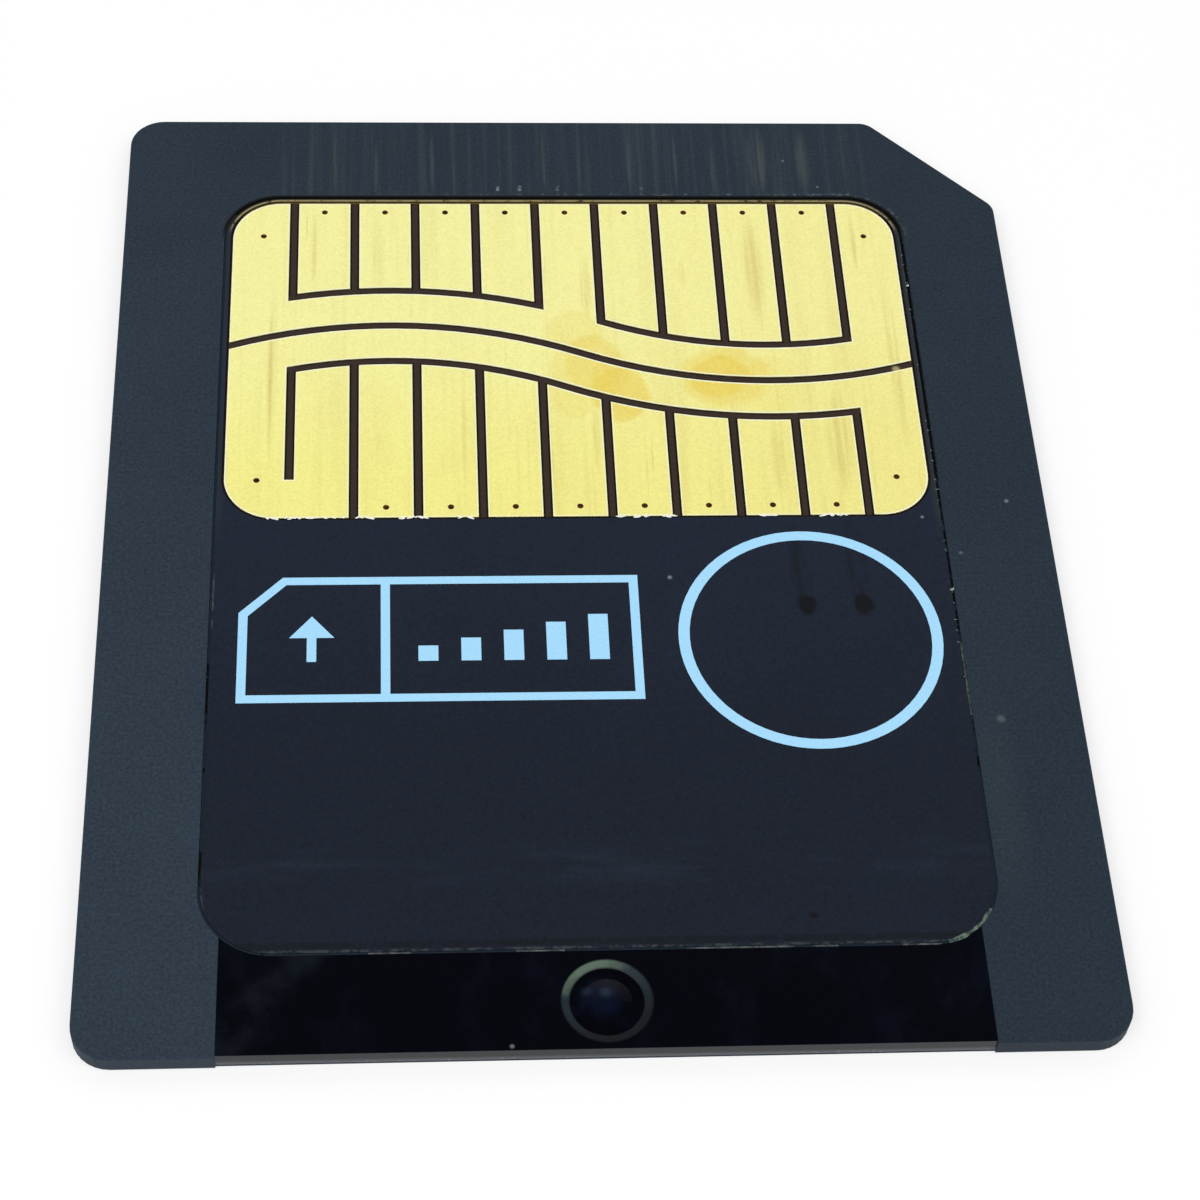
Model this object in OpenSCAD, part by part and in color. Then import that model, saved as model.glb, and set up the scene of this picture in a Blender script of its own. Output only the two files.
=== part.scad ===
// Flash memory card: a thin moulded card with a contact module bonded into its stepped recess.
// It lies on its back with the contacts up. X runs across the card, +Y runs towards the
// contact end and +Z points up. The origin is the middle of the back face.

/* [Card] */
// Width of the card across X
card_w = 37; // [35:0.1:40]
// Length of the card along Y
card_l = 45; // [44:0.1:48]
// Thickness of the card
card_t = 0.76; // [0.7:0.01:1]
// Radius of the three plain corners
corner_r = 1.4; // [0.8:0.1:2]
// Leg of the index cut at the corner beside the contacts
cut_leg = 5; // [3:0.1:6]
// Radius where the index cut meets the sides
cut_r = 0.8; // [0.4:0.1:1.2]
// Bevel round the edges of both faces
edge_bevel = 0.04; // [0.02:0.01:0.1]

/* [Contact field] */
// Distance from one contact column to the next
pitch = 2.54; // [2.45:0.01:2.6]
// Length of the gold field along Y
field_l = 16.84; // [16:0.02:17.6]
// Distance from the card's contact end to the gold field
field_gap = 4.9; // [4.4:0.1:5.4]
// Radius of the gold field's corners
field_r = 2; // [1.2:0.1:2.4]
// Width of the straight grooves between the columns
groove_w = 0.38; // [0.3:0.01:0.46]
// Width of the curved grooves
wave_groove_w = 0.35; // [0.28:0.01:0.44]
// Distance from the middle curved groove to each outer one
band_pitch = 1.92; // [1.6:0.02:2.2]
// Radius of the two arcs that make the curved grooves
wave_r = 20.6; // [18:0.1:26]
// Height from the low point of the wave to its high point
wave_rise = 3.02; // [2.4:0.02:3.4]
// Place of the wave's turning point across the card
wave_x = 0.35; // [-0.5:0.05:1]
// Height of the wave's turning point above the gold field's lower edge
wave_y = 8.46; // [8:0.02:9]
// Height at which the slot beside the joined corner column ends above the field's lower edge
slot_end = 1.9; // [1.2:0.05:2.6]
// Thickness of the contact foil and of the resist film round it
foil_t = 0.03; // [0.02:0.005:0.045]
// Radius of the holes in the contacts
via_r = 0.125; // [0.1:0.005:0.15]
// Thickness of the plated wall of each hole
via_wall = 0.04; // [0.03:0.005:0.06]
// Distance from the field's edge to the holes of the straight contacts
via_inset = 0.5; // [0.4:0.02:0.7]
// Distance from the field's edge to the holes of the corner contacts
corner_via_inset = 1.88; // [1.6:0.02:2.2]
// Depth of the filling below the contact face
plug_drop = 0.01; // [0.005:0.005:0.02]

/* [Contact module] */
// Length of the module's board along Y
module_l = 36.35; // [35.5:0.05:37]
// Width of board that shows round the gold field on three sides
border = 0.27; // [0.22:0.01:0.4]
// Clearance between the gold and the resist film
window_gap = 0.1; // [0.06:0.01:0.16]
// Radius of the module's corners at the contact end
module_top_r = 2.2; // [1.6:0.1:2.6]
// Radius of the module's corners at the other end
module_low_r = 2.6; // [2:0.1:3.2]
// Thickness of the glass-epoxy board
board_t = 0.13; // [0.1:0.01:0.16]
// Depth of the module's face below the card's face
face_drop = 0.02; // [0.012:0.002:0.04]
// Clearance between the module and the wall of the recess
pocket_gap = 0.1; // [0.06:0.01:0.16]
// Thickness of the bonding film under the module's rim
bond_film_t = 0.04; // [0.02:0.005:0.06]

/* [Chips and resin] */
// Width of the rim that rests on the shelf of the recess
rim_w = 1.7; // [1.4:0.05:2]
// Thickness of the resin on the board's underside
resin_t = 0.4; // [0.36:0.01:0.42]
// Clearance between the resin and the walls of the deep cavity
cavity_gap = 0.15; // [0.1:0.01:0.25]
// Clearance between the resin and the floor of the deep cavity
floor_gap = 0.04; // [0.02:0.005:0.06]
// Size of each memory chip across X
chip_w = 12.4; // [11.6:0.1:14]
// Size of each memory chip along Y
chip_l = 10.4; // [9.6:0.1:10.8]
// Thickness of each memory chip
chip_t = 0.15; // [0.12:0.01:0.17]
// Thickness of the film that holds a chip to the board
chip_film_t = 0.02; // [0.015:0.005:0.03]
// Thickness of the copper on the board's underside
copper_t = 0.018; // [0.012:0.002:0.025]
// Width of the copper tracks
track_w = 0.05; // [0.04:0.005:0.06]
// Clearance between neighbouring tracks along the board's edge
track_gap = 0.04; // [0.03:0.005:0.045]
// Distance from the board's edge to the outermost track
lane_edge = 0.12; // [0.1:0.01:0.14]
// Width of copper round a plated hole
land_w = 0.1; // [0.08:0.01:0.11]
// Width of a bond finger
finger_w = 0.22; // [0.16:0.01:0.3]
// Clearance between neighbouring bond fingers
finger_side_gap = 0.82; // [0.7:0.01:0.88]
// Length of a bond finger
finger_l = 0.5; // [0.4:0.01:0.6]
// Distance between a chip and its row of bond fingers
finger_gap = 0.4; // [0.35:0.01:0.45]
// Distance along Y in which the tracks spread from the fingers to the plated holes
fan_l = 1.2; // [1.1:0.05:1.4]
// Distance of the bond wires' landing from a chip's edge
pad_inset = 0.2; // [0.15:0.01:0.3]
// Radius of a bond wire
wire_r = 0.015; // [0.012:0.001:0.02]
// Height of a bond wire's arch above its chord
wire_arch = 0.13; // [0.11:0.01:0.15]
// Radius of the bonded foot at each end of a wire
foot_r = 0.035; // [0.03:0.005:0.05]
// Height of the bonded foot at each end of a wire
foot_h = 0.02; // [0.02:0.002:0.03]

/* [Gate strip] */
// Width of the polished strip behind the module
strip_w = 27.06; // [24:0.02:30]
// Depth of the polished strip below the card's face
strip_drop = 0.015; // [0.01:0.001:0.025]
// Distance by which the strip's end stands back from the card's end
strip_setback = 0.08; // [0.05:0.01:0.15]
// Radius of the gate mark at the strip's face
gate_r = 1.6; // [1.4:0.02:1.7]
// Width of the gate mark's sloping wall
gate_slope = 0.28; // [0.2:0.01:0.4]
// Depth of the gate mark
gate_depth = 0.12; // [0.08:0.01:0.18]
// Distance from the card's end to the middle of the gate mark
gate_end = 1.95; // [1.85:0.01:2.1]
// Radius of the low dome inside the gate mark
dome_r = 0.9; // [0.6:0.02:1.1]
// Height of the low dome inside the gate mark
dome_h = 0.07; // [0.04:0.005:0.08]
// Radius of the broken-off sprue on the dome
sprue_r = 0.22; // [0.15:0.01:0.3]
// Height of the broken-off sprue above the dome
sprue_h = 0.02; // [0.01:0.005:0.03]

/* [Print] */
// Thickness of the printed ink
ink_t = 0.008; // [0.005:0.001:0.01]
// Width of the lines of the printed frame
frame_line = 0.35; // [0.28:0.01:0.4]
// Width of the printed frame
frame_w = 15.27; // [14.6:0.01:15.6]
// Height of the printed frame
frame_h = 5.78; // [5.4:0.01:6.2]
// Corner cut of the printed frame
frame_cut = 1.65; // [1.2:0.05:2]
// Distance from the frame's left side to the middle of its dividing line
cell_w = 5.56; // [5:0.01:5.8]
// Distance from the module's side to the printed frame
frame_side = 1.02; // [0.7:0.01:1.3]
// Distance from the gold field to the printed frame
frame_gap = 2.9; // [2.6:0.05:3.4]
// Outer radius of the printed ring
ring_r = 5.08; // [4.8:0.01:5.2]
// Width of the ring's line
ring_line = 0.43; // [0.36:0.01:0.48]
// Distance from the module's side to the ring
ring_side = 0.61; // [0.5:0.01:0.8]
// Distance from the gold field to the ring
ring_gap = 0.84; // [0.6:0.02:1.2]
// Height of the arrow and of the tallest bar
mark_h = 2.1; // [1.8:0.02:2.3]
// Width of the arrow's head
arrow_w = 1.7; // [1.4:0.05:2]
// Height of the arrow's head
arrow_head = 1; // [0.8:0.05:1.2]
// Width of the arrow's stem
arrow_stem = 0.36; // [0.28:0.02:0.5]
// Number of bars in the right cell
bar_count = 5; // [4:1:5]
// Height of the lowest bar
bar_low = 0.7; // [0.4:0.02:1.2]
// Width of each bar
bar_w = 0.75; // [0.6:0.01:0.9]
// Clearance between one bar and the next
bar_gap = 0.87; // [0.7:0.01:0.95]

/* [Hidden] */
// Contacts 1 to 11 run right to left along the lower row, and 12 to 22 left to right above it.
MIDDLE_COLUMN = 5;
COLUMNS = 2 * MIDDLE_COLUMN + 1;
GROUND_PINS = [1, COLUMNS];
JOINED_PIN = COLUMNS - 1;
POWER_PINS = [COLUMNS + 1, COLUMNS + 1 + MIDDLE_COLUMN, 2 * COLUMNS];
LOWER_PINS = [for (pin = [GROUND_PINS[0] + 1 : JOINED_PIN - 1]) pin];
UPPER_PINS = [for (pin = [POWER_PINS[0] + 1 : POWER_PINS[2] - 1]) if (pin != POWER_PINS[1]) pin];
SINGLE_PINS = concat(LOWER_PINS, UPPER_PINS);
PLATED_PINS = concat(SINGLE_PINS, POWER_PINS, GROUND_PINS);

HULL_FN = 32;  // facets of the hulled corners
ROUND_FN = 96; // facets of what is drawn round in the plane
REACH = 1;     // length of a cutting shape past the face that it opens

// The gold field and the module round it
field_w = COLUMNS * pitch;
field_top = card_l / 2 - field_gap;
field_low = field_top - field_l;
module_w = field_w + 2 * border;
module_top = field_top + border;
module_low = module_top - module_l;
pad_w = pitch - groove_w;

// Heights, from the card's face down
face_z = card_t - face_drop;
board_top = face_z - foil_t;
board_low = board_top - board_t;
shelf_z = board_low - bond_film_t;
resin_low = board_low - resin_t;
cavity_z = resin_low - floor_gap;
copper_low = board_low - copper_t;
chip_top = board_low - chip_film_t;
chip_low = chip_top - chip_t;
strip_z = card_t - strip_drop;
gate_z = strip_z - gate_depth;

// Each curved groove is two arcs of one radius that meet without a kink at the turning point.
turn = [wave_x, field_low + wave_y];
centre_rise = 2 * wave_r - wave_rise;
centre_run = sqrt(pow(2 * wave_r, 2) - pow(centre_rise, 2));
left_centre = turn - [centre_run, centre_rise] / 2;
right_centre = turn + [centre_run, centre_rise] / 2;

// The plated holes, and the rows of bond fingers on both sides of each chip
barrel_r = via_r + via_wall;
land_r = barrel_r + land_w;
lower_via_y = field_low + via_inset;
finger_reach = chip_l / 2 + finger_gap + finger_l / 2;
front_chip_y = lower_via_y + fan_l + finger_reach;
rear_chip_y = lower_via_y - fan_l - finger_reach;
wire_run = pad_inset + finger_gap + finger_l / 2;
finger_step = finger_w + finger_side_gap;
track_step = track_w + track_gap;
tail_step = 2 * track_step;

function contact_name(pin) = str("contact_", pin);
function is_upper(pin) = pin > COLUMNS;
function column(pin) = is_upper(pin) ? pin - POWER_PINS[1] : MIDDLE_COLUMN + 1 - pin;
function pin_x(pin) = column(pin) * pitch;
function is_corner(pin) = abs(column(pin)) == MIDDLE_COLUMN;
function via(pin) =
    let (inset = is_corner(pin) ? corner_via_inset : via_inset)
    [pin_x(pin), is_upper(pin) ? field_top - inset : field_low + inset];

// Shapes that more than one piece uses

module at_vias(pins) {
    for (pin = pins) translate(via(pin)) children();
}

module rounded_panel(low, high, low_r, high_r) {
    hull() for (side = [-1, 1]) {
        translate([side * (high[0] - low_r), low[1] + low_r]) circle(low_r, $fn = ROUND_FN);
        translate([side * (high[0] - high_r), high[1] - high_r]) circle(high_r, $fn = ROUND_FN);
    }
}

// The module's outline, moved out by grow or in by a negative one
module module_outline(grow = 0) {
    rounded_panel(
        [-module_w / 2 - grow, module_low - grow], [module_w / 2 + grow, module_top + grow],
        module_low_r + grow, module_top_r + grow
    );
}

module field_outline(grow = 0) {
    rounded_panel(
        [-field_w / 2 - grow, field_low - grow], [field_w / 2 + grow, field_top + grow],
        field_r + grow, field_r + grow
    );
}

// The outline of the resin, which is the module's without the rim that rests on the shelf
module resin_outline(grow = 0) {
    module_outline(grow - rim_w);
}

// One side of the line through both arc centres, over the whole gold field
module wave_side(side) {
    lean = centre_run / centre_rise;
    low = field_low - REACH;
    high = field_top + REACH;
    far = side * (field_w / 2 + REACH);
    polygon([
        [turn[0] + (low - turn[1]) * lean, low], [far, low],
        [far, high], [turn[0] + (high - turn[1]) * lean, high]
    ]);
}

module over_field() {
    translate([-field_w / 2 - REACH, field_low - REACH])
        square([field_w + 2 * REACH, field_l + 2 * REACH]);
}

module left_disc(shift) {
    translate(left_centre) circle(wave_r + shift, $fn = ROUND_FN);
}

module right_disc(shift) {
    translate(right_centre) circle(wave_r - shift, $fn = ROUND_FN);
}

// All that lies above the wave after it has moved up by shift along its normal. The two discs
// touch on the line through their centres, so what each side cuts away has no seam there.
module above_wave(shift) {
    difference() {
        over_field();
        left_disc(shift);
        difference() {
            wave_side(1);
            right_disc(shift);
        }
    }
}

module below_wave(shift) {
    difference() {
        over_field();
        right_disc(shift);
        difference() {
            wave_side(-1);
            left_disc(shift);
        }
    }
}

// The columns from one contact to another, widened on both sides by spread
module columns_between(pin_a, pin_b, spread = 0) {
    left = min(pin_x(pin_a), pin_x(pin_b)) - pad_w / 2 - spread;
    right = max(pin_x(pin_a), pin_x(pin_b)) + pad_w / 2 + spread;
    translate([left, field_low]) square([right - left, field_l]);
}

function unit(v) = v / norm(v);
function left_of(v) = [-v[1], v[0]];
function mitre(u, v) = (left_of(u) + left_of(v)) / (1 + u * v);
function edge_of(path, offset) = [
    for (i = [0 : len(path) - 1])
        let (
            u = unit(i == 0 ? path[1] - path[0] : path[i] - path[i - 1]),
            v = unit(i == len(path) - 1 ? path[i] - path[i - 1] : path[i + 1] - path[i])
        )
        path[i] + offset * mitre(u, v)
];
function reversed(list) = [for (i = [len(list) - 1 : -1 : 0]) list[i]];

module track(path) {
    polygon(concat(edge_of(path, -track_w / 2), reversed(edge_of(path, track_w / 2))));
}

// The card

module card_blank() {
    tangent = cut_r * tan(45 / 2);
    plain = [for (side = [[-1, -1], [1, -1], [-1, 1]]) [
        side[0] * (card_w / 2 - corner_r), side[1] * (card_l / 2 - corner_r), corner_r
    ]];
    cut = [
        [card_w / 2 - cut_leg - tangent, card_l / 2 - cut_r, cut_r],
        [card_w / 2 - cut_r, card_l / 2 - cut_leg - tangent, cut_r]
    ];
    hull() for (corner = concat(plain, cut)) translate([corner[0], corner[1], 0]) {
        cylinder(card_t, r = corner[2] - edge_bevel, $fn = HULL_FN);
        translate([0, 0, edge_bevel])
            cylinder(card_t - 2 * edge_bevel, r = corner[2], $fn = HULL_FN);
    }
}

// The polished strip runs on under the module's rounded corners.
module strip_cut() {
    strip_l = module_low + module_low_r + card_l / 2;
    translate([-strip_w / 2, -card_l / 2, strip_z]) cube([strip_w, strip_l, REACH]);
    translate([-strip_w / 2, -card_l / 2 - REACH, -REACH])
        cube([strip_w, REACH + strip_setback, card_t + 2 * REACH]);
}

// A shallow dish with a sloping wall, and a low dome that carries the sprue's stub
module gate_cut() {
    ball_r = (dome_r * dome_r + dome_h * dome_h) / (2 * dome_h);
    wall_rise = gate_depth + strip_drop;
    translate([0, -card_l / 2 + gate_end, gate_z]) difference() {
        cylinder(wall_rise, r1 = gate_r - gate_slope, r2 = gate_r, $fn = ROUND_FN);
        translate([0, 0, dome_h - ball_r]) sphere(ball_r, $fn = ROUND_FN);
        cylinder(dome_h + sprue_h, r = sprue_r, $fn = ROUND_FN);
    }
}

module base_card() {
    color([0.17, 0.21, 0.25]) difference() {
        card_blank();
        translate([0, 0, shelf_z]) linear_extrude(card_t) module_outline(pocket_gap);
        translate([0, 0, cavity_z]) linear_extrude(card_t) resin_outline(cavity_gap);
        strip_cut();
        gate_cut();
    }
}

// The contact module

module bond_film() {
    color([0.75, 0.7, 0.55]) difference() {
        translate([0, 0, shelf_z]) linear_extrude(bond_film_t) difference() {
            module_outline();
            resin_outline(cavity_gap);
        }
        copper_block();
    }
}

module module_board() {
    color([0.2, 0.16, 0.13]) translate([0, 0, board_low]) linear_extrude(board_t)
        difference() {
            module_outline();
            at_vias(PLATED_PINS) circle(barrel_r, $fn = ROUND_FN);
        }
}

module resist_film() {
    color([0.14, 0.17, 0.21]) translate([0, 0, board_top]) linear_extrude(foil_t)
        difference() {
            module_outline();
            field_outline(window_gap);
        }
}

// Gold foil of the outline given as a child, with a plated barrel through the board for each pin
module contact(pins) {
    color([0.95, 0.9, 0.58]) difference() {
        union() {
            translate([0, 0, board_top]) linear_extrude(foil_t) children();
            translate([0, 0, board_low]) at_vias(pins)
                cylinder(board_t + foil_t / 2, r = barrel_r, $fn = ROUND_FN);
        }
        translate([0, 0, board_low - REACH]) at_vias(pins)
            cylinder(board_t + foil_t + 2 * REACH, r = via_r, $fn = ROUND_FN);
    }
}

module single_contact(pin) {
    outer_shift = band_pitch + wave_groove_w / 2;
    contact([pin]) intersection() {
        columns_between(pin, pin);
        if (is_upper(pin)) above_wave(outer_shift);
        else below_wave(-outer_shift);
    }
}

// Both upper corners and the middle column, joined by the band above the middle groove
module contact_power() {
    inner_shift = band_pitch - wave_groove_w / 2;
    contact(POWER_PINS) difference() {
        intersection() {
            field_outline();
            above_wave(wave_groove_w / 2);
        }
        for (side = [-1, 1]) intersection() {
            pins = [for (pin = UPPER_PINS) if (sign(column(pin)) == side) pin];
            columns_between(pins[0], pins[len(pins) - 1], groove_w);
            above_wave(inner_shift);
        }
    }
}

// Both lower corners, joined by the band below the middle groove, and the column that hangs on one
module contact_ground() {
    inner_shift = band_pitch - wave_groove_w / 2;
    outer_shift = band_pitch + wave_groove_w / 2;
    slot_x = (pin_x(JOINED_PIN) + pin_x(GROUND_PINS[1])) / 2;
    bridge_w = pitch / 2;
    contact(GROUND_PINS) {
        difference() {
            intersection() {
                field_outline();
                below_wave(-wave_groove_w / 2);
            }
            intersection() {
                columns_between(JOINED_PIN, LOWER_PINS[0], groove_w);
                below_wave(-inner_shift);
            }
        }
        intersection() {
            columns_between(JOINED_PIN, JOINED_PIN);
            below_wave(-outer_shift);
        }
        translate([slot_x - bridge_w / 2, field_low]) square([bridge_w, slot_end]);
    }
}

module via_plugs() {
    color([0.3, 0.1, 0.05]) translate([0, 0, copper_low]) at_vias(PLATED_PINS)
        cylinder(face_z - plug_drop - copper_low, r = via_r, $fn = ROUND_FN);
}

// The circuit on the board's underside

// Each row of fingers: its contacts, the middle of its chip and the side of the chip it lies on
lower_plated = [for (pin = PLATED_PINS) if (!is_upper(pin)) pin];
upper_plated = [for (pin = PLATED_PINS) if (is_upper(pin)) pin];
front_rows = [[upper_plated, front_chip_y, 1], [lower_plated, front_chip_y, -1]];
rear_rows = [[lower_plated, rear_chip_y, 1], [UPPER_PINS, rear_chip_y, -1]];

function finger_x(pin) = column(pin) * finger_step;
function finger(pin, row) = [finger_x(pin), row[1] + row[2] * finger_reach];
function finger_end(pin, row) = finger(pin, row) + [0, row[2] * finger_l / 2];

// From an upper hole out to the board's edge, down past both chips and in to the rear chip
module lane(pin) {
    side = sign(column(pin));
    place = abs(column(pin)) - 1;
    margin = lane_edge + place * track_step;
    x = module_w / 2 - margin;
    y = module_top - margin;
    turn_leg = module_top_r * (2 - sqrt(2));
    end = finger(pin, rear_rows[1]);
    low = end[1] - fan_l + place * tail_step;
    track([
        via(pin), [pin_x(pin), y], [side * (x - turn_leg), y], [side * x, y - turn_leg],
        [side * x, low], [end[0], low], end
    ]);
}

module finger_row(row) {
    for (pin = row[0]) translate(finger(pin, row)) square([finger_w, finger_l], center = true);
}

module copper_shape() {
    at_vias(PLATED_PINS) circle(land_r, $fn = ROUND_FN);
    for (row = concat(front_rows, rear_rows)) finger_row(row);
    for (row = front_rows, pin = row[0]) track([via(pin), finger_end(pin, row), finger(pin, row)]);
    for (row = [rear_rows[0]], pin = row[0]) track([
        via(pin), if (is_corner(pin)) [pin_x(pin), lower_via_y],
        finger_end(pin, row), finger(pin, row)
    ]);
    for (pin = UPPER_PINS) lane(pin);
}

module copper_block() {
    translate([0, 0, copper_low]) linear_extrude(copper_t) copper_shape();
}

module inner_copper() {
    color([0.8, 0.5, 0.3]) difference() {
        copper_block();
        translate([0, 0, copper_low - REACH]) at_vias(PLATED_PINS)
            cylinder(copper_t + 2 * REACH, r = via_r, $fn = ROUND_FN);
    }
}

module chip_block(y, low, height) {
    translate([-chip_w / 2, y - chip_l / 2, low]) cube([chip_w, chip_l, height]);
}

module memory_chip(y) {
    color([0.35, 0.36, 0.4]) chip_block(y, chip_low, chip_t);
}

module chip_film(y) {
    color([0.85, 0.8, 0.6]) chip_block(y, chip_top, chip_film_t);
}

// One wire: an arc below its chord, between a foot on the chip and a foot on the finger
module bond_wire(side) {
    start = [0, chip_low - foot_h / 2];
    end = [wire_run, copper_low - foot_h / 2];
    chord = norm(end - start);
    arc_r = (chord * chord / 4 + wire_arch * wire_arch) / (2 * wire_arch);
    half_turn = asin(chord / 2 / arc_r);
    tilt = atan2(end[1] - start[1], end[0] - start[0]);
    mirror([0, side < 0 ? 1 : 0, 0]) {
        translate([0, (start[0] + end[0]) / 2, (start[1] + end[1]) / 2])
            rotate([tilt, 0, 0]) translate([0, 0, arc_r - wire_arch])
            rotate([0, 90, 0]) rotate([0, 0, -half_turn])
            rotate_extrude(angle = 2 * half_turn, $fn = ROUND_FN)
            translate([arc_r, 0]) circle(wire_r, $fn = HULL_FN);
        translate([0, start[0], chip_low - foot_h]) cylinder(foot_h, r = foot_r, $fn = HULL_FN);
        translate([0, end[0], copper_low - foot_h]) cylinder(foot_h, r = foot_r, $fn = HULL_FN);
    }
}

module bond_wires(rows) {
    color([0.95, 0.8, 0.4]) for (row = rows, pin = row[0])
        translate(finger(pin, row) - [0, row[2] * wire_run]) bond_wire(row[2]);
}

module resin_cap() {
    color([0.1, 0.1, 0.11]) difference() {
        translate([0, 0, resin_low]) linear_extrude(resin_t) resin_outline();
        for (y = [front_chip_y, rear_chip_y])
            chip_block(y, chip_low, chip_t + chip_film_t + REACH);
        translate([0, 0, copper_low]) linear_extrude(REACH) copper_shape();
        bond_wires(concat(front_rows, rear_rows));
    }
}

// The print on the module's face

frame_x = -module_w / 2 + frame_side;
frame_top = field_low - frame_gap;
frame_mid = frame_top - frame_h / 2;

module ink() {
    color([0.59, 0.78, 0.94]) translate([0, 0, face_z]) linear_extrude(ink_t) children();
}

module frame_shape(inset) {
    bite = frame_cut - inset * (2 - sqrt(2));
    left = frame_x + inset;
    right = frame_x + frame_w - inset;
    low = frame_top - frame_h + inset;
    high = frame_top - inset;
    polygon([
        [left, low], [right, low], [right, high], [left + bite, high], [left, high - bite]
    ]);
}

module printed_frame() {
    ink() {
        difference() {
            frame_shape(0);
            frame_shape(frame_line);
        }
        translate([frame_x + cell_w - frame_line / 2, frame_top - frame_h + frame_line / 2])
            square([frame_line, frame_h - frame_line]);
    }
}

module printed_arrow() {
    ink() translate([frame_x + cell_w / 2, frame_mid]) {
        polygon([
            [-arrow_stem / 2, -mark_h / 2], [arrow_stem / 2, -mark_h / 2],
            [arrow_stem / 2, mark_h / 2 - arrow_head], [arrow_w / 2, mark_h / 2 - arrow_head],
            [0, mark_h / 2],
            [-arrow_w / 2, mark_h / 2 - arrow_head], [-arrow_stem / 2, mark_h / 2 - arrow_head]
        ]);
    }
}

// Bars that grow in equal steps to the height of the arrow
module printed_bars() {
    steps = bar_count - 1;
    ink() translate([frame_x + (cell_w + frame_w) / 2, frame_mid - mark_h / 2])
        for (i = [0 : steps]) translate([(i - steps / 2) * (bar_w + bar_gap) - bar_w / 2, 0])
            square([bar_w, bar_low + (mark_h - bar_low) * i / steps]);
}

module printed_ring() {
    ink() translate([module_w / 2 - ring_side - ring_r, field_low - ring_gap - ring_r])
        difference() {
            circle(ring_r, $fn = ROUND_FN);
            circle(ring_r - ring_line, $fn = ROUND_FN);
        }
}

base_card();
bond_film();
module_board();
resist_film();
for (pin = SINGLE_PINS)
    single_contact(pin);
contact_power();
contact_ground();
via_plugs();
inner_copper();
memory_chip(front_chip_y);  // memory_chip_front
memory_chip(rear_chip_y);  // memory_chip_rear
chip_film(front_chip_y);  // chip_film_front
chip_film(rear_chip_y);  // chip_film_rear
bond_wires(front_rows);  // bond_wires_front
bond_wires(rear_rows);  // bond_wires_rear
resin_cap();
printed_frame();
printed_arrow();
printed_bars();
printed_ring();
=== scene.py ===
"""Finishes, wear and stage of a flash memory card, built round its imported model.

The card lies on its back with the contacts up. Lengths inside a finish are in millimetres of
the card's own frame, and every mesh is in metres.
"""

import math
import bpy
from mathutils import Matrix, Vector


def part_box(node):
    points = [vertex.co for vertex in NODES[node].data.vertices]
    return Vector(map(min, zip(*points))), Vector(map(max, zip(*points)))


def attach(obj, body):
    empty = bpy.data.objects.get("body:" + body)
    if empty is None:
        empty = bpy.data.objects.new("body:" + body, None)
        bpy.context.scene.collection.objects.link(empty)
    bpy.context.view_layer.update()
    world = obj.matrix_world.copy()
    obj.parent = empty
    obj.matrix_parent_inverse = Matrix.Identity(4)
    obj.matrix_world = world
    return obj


bl_info = {
    "name": "Flash memory card finish",
    "version": (1, 0, 0),
    "blender": (4, 5, 0),
    "location": "View3D > Sidebar > Card",
    "description": "Dresses the packed flash memory card and sets the stage round it",
    "category": "Object",
}

import bmesh
import bpy
from mathutils import Vector

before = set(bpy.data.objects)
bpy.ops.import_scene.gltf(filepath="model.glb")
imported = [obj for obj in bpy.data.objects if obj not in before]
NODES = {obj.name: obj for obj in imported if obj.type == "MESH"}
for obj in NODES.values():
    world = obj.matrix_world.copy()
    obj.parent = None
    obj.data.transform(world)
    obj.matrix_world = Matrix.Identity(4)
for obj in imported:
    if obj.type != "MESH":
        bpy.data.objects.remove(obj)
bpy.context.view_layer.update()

MM = 0.001
COLUMNS = 11
SINGLE_CONTACTS = sorted(n for n in NODES if n.startswith("contact_") and n[8:].isdigit())
CONTACTS = SINGLE_CONTACTS + ["contact_power", "contact_ground"]


def box_mm(node):
    """Lowest and highest corner of a CAD node, in millimetres."""
    return [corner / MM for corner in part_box(node)]


MODULE_LOW, MODULE_HIGH = box_mm("resist_film")
GOLD_LOW, GOLD_HIGH = box_mm("contact_ground")[0], box_mm("contact_power")[1]
CARD_LOW, CARD_HIGH = box_mm("base_card")
FACE_Z = MODULE_HIGH.z
PITCH = (GOLD_HIGH.x - GOLD_LOW.x) / COLUMNS

# The curved grooves are two arcs of one radius that meet at the turning point.
WAVE_R = 20.6
WAVE_RISE = 3.02
WAVE_TURN = Vector((0.35, GOLD_LOW.y + 8.46))
BAND_PITCH = 1.92

# The polished strip, the corners of module and gold field, and the gate mark with its sloped ring.
STRIP_HALF = 13.53
STRIP_END = MODULE_LOW.y + 2.6
MODULE_LOW_R = 2.6
MODULE_TOP_R = 2.2
GOLD_R = 2
GATE_R = 1.6
GATE_Y = CARD_LOW.y + 1.95
GATE_SLOPE = (GATE_R - 0.29, GATE_R + 0.04)
GATE_LIT = (GATE_R - 0.25, GATE_R - 0.01)
GATE_FLOOR = (GATE_R - 0.36, GATE_R - 0.28)

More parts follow.
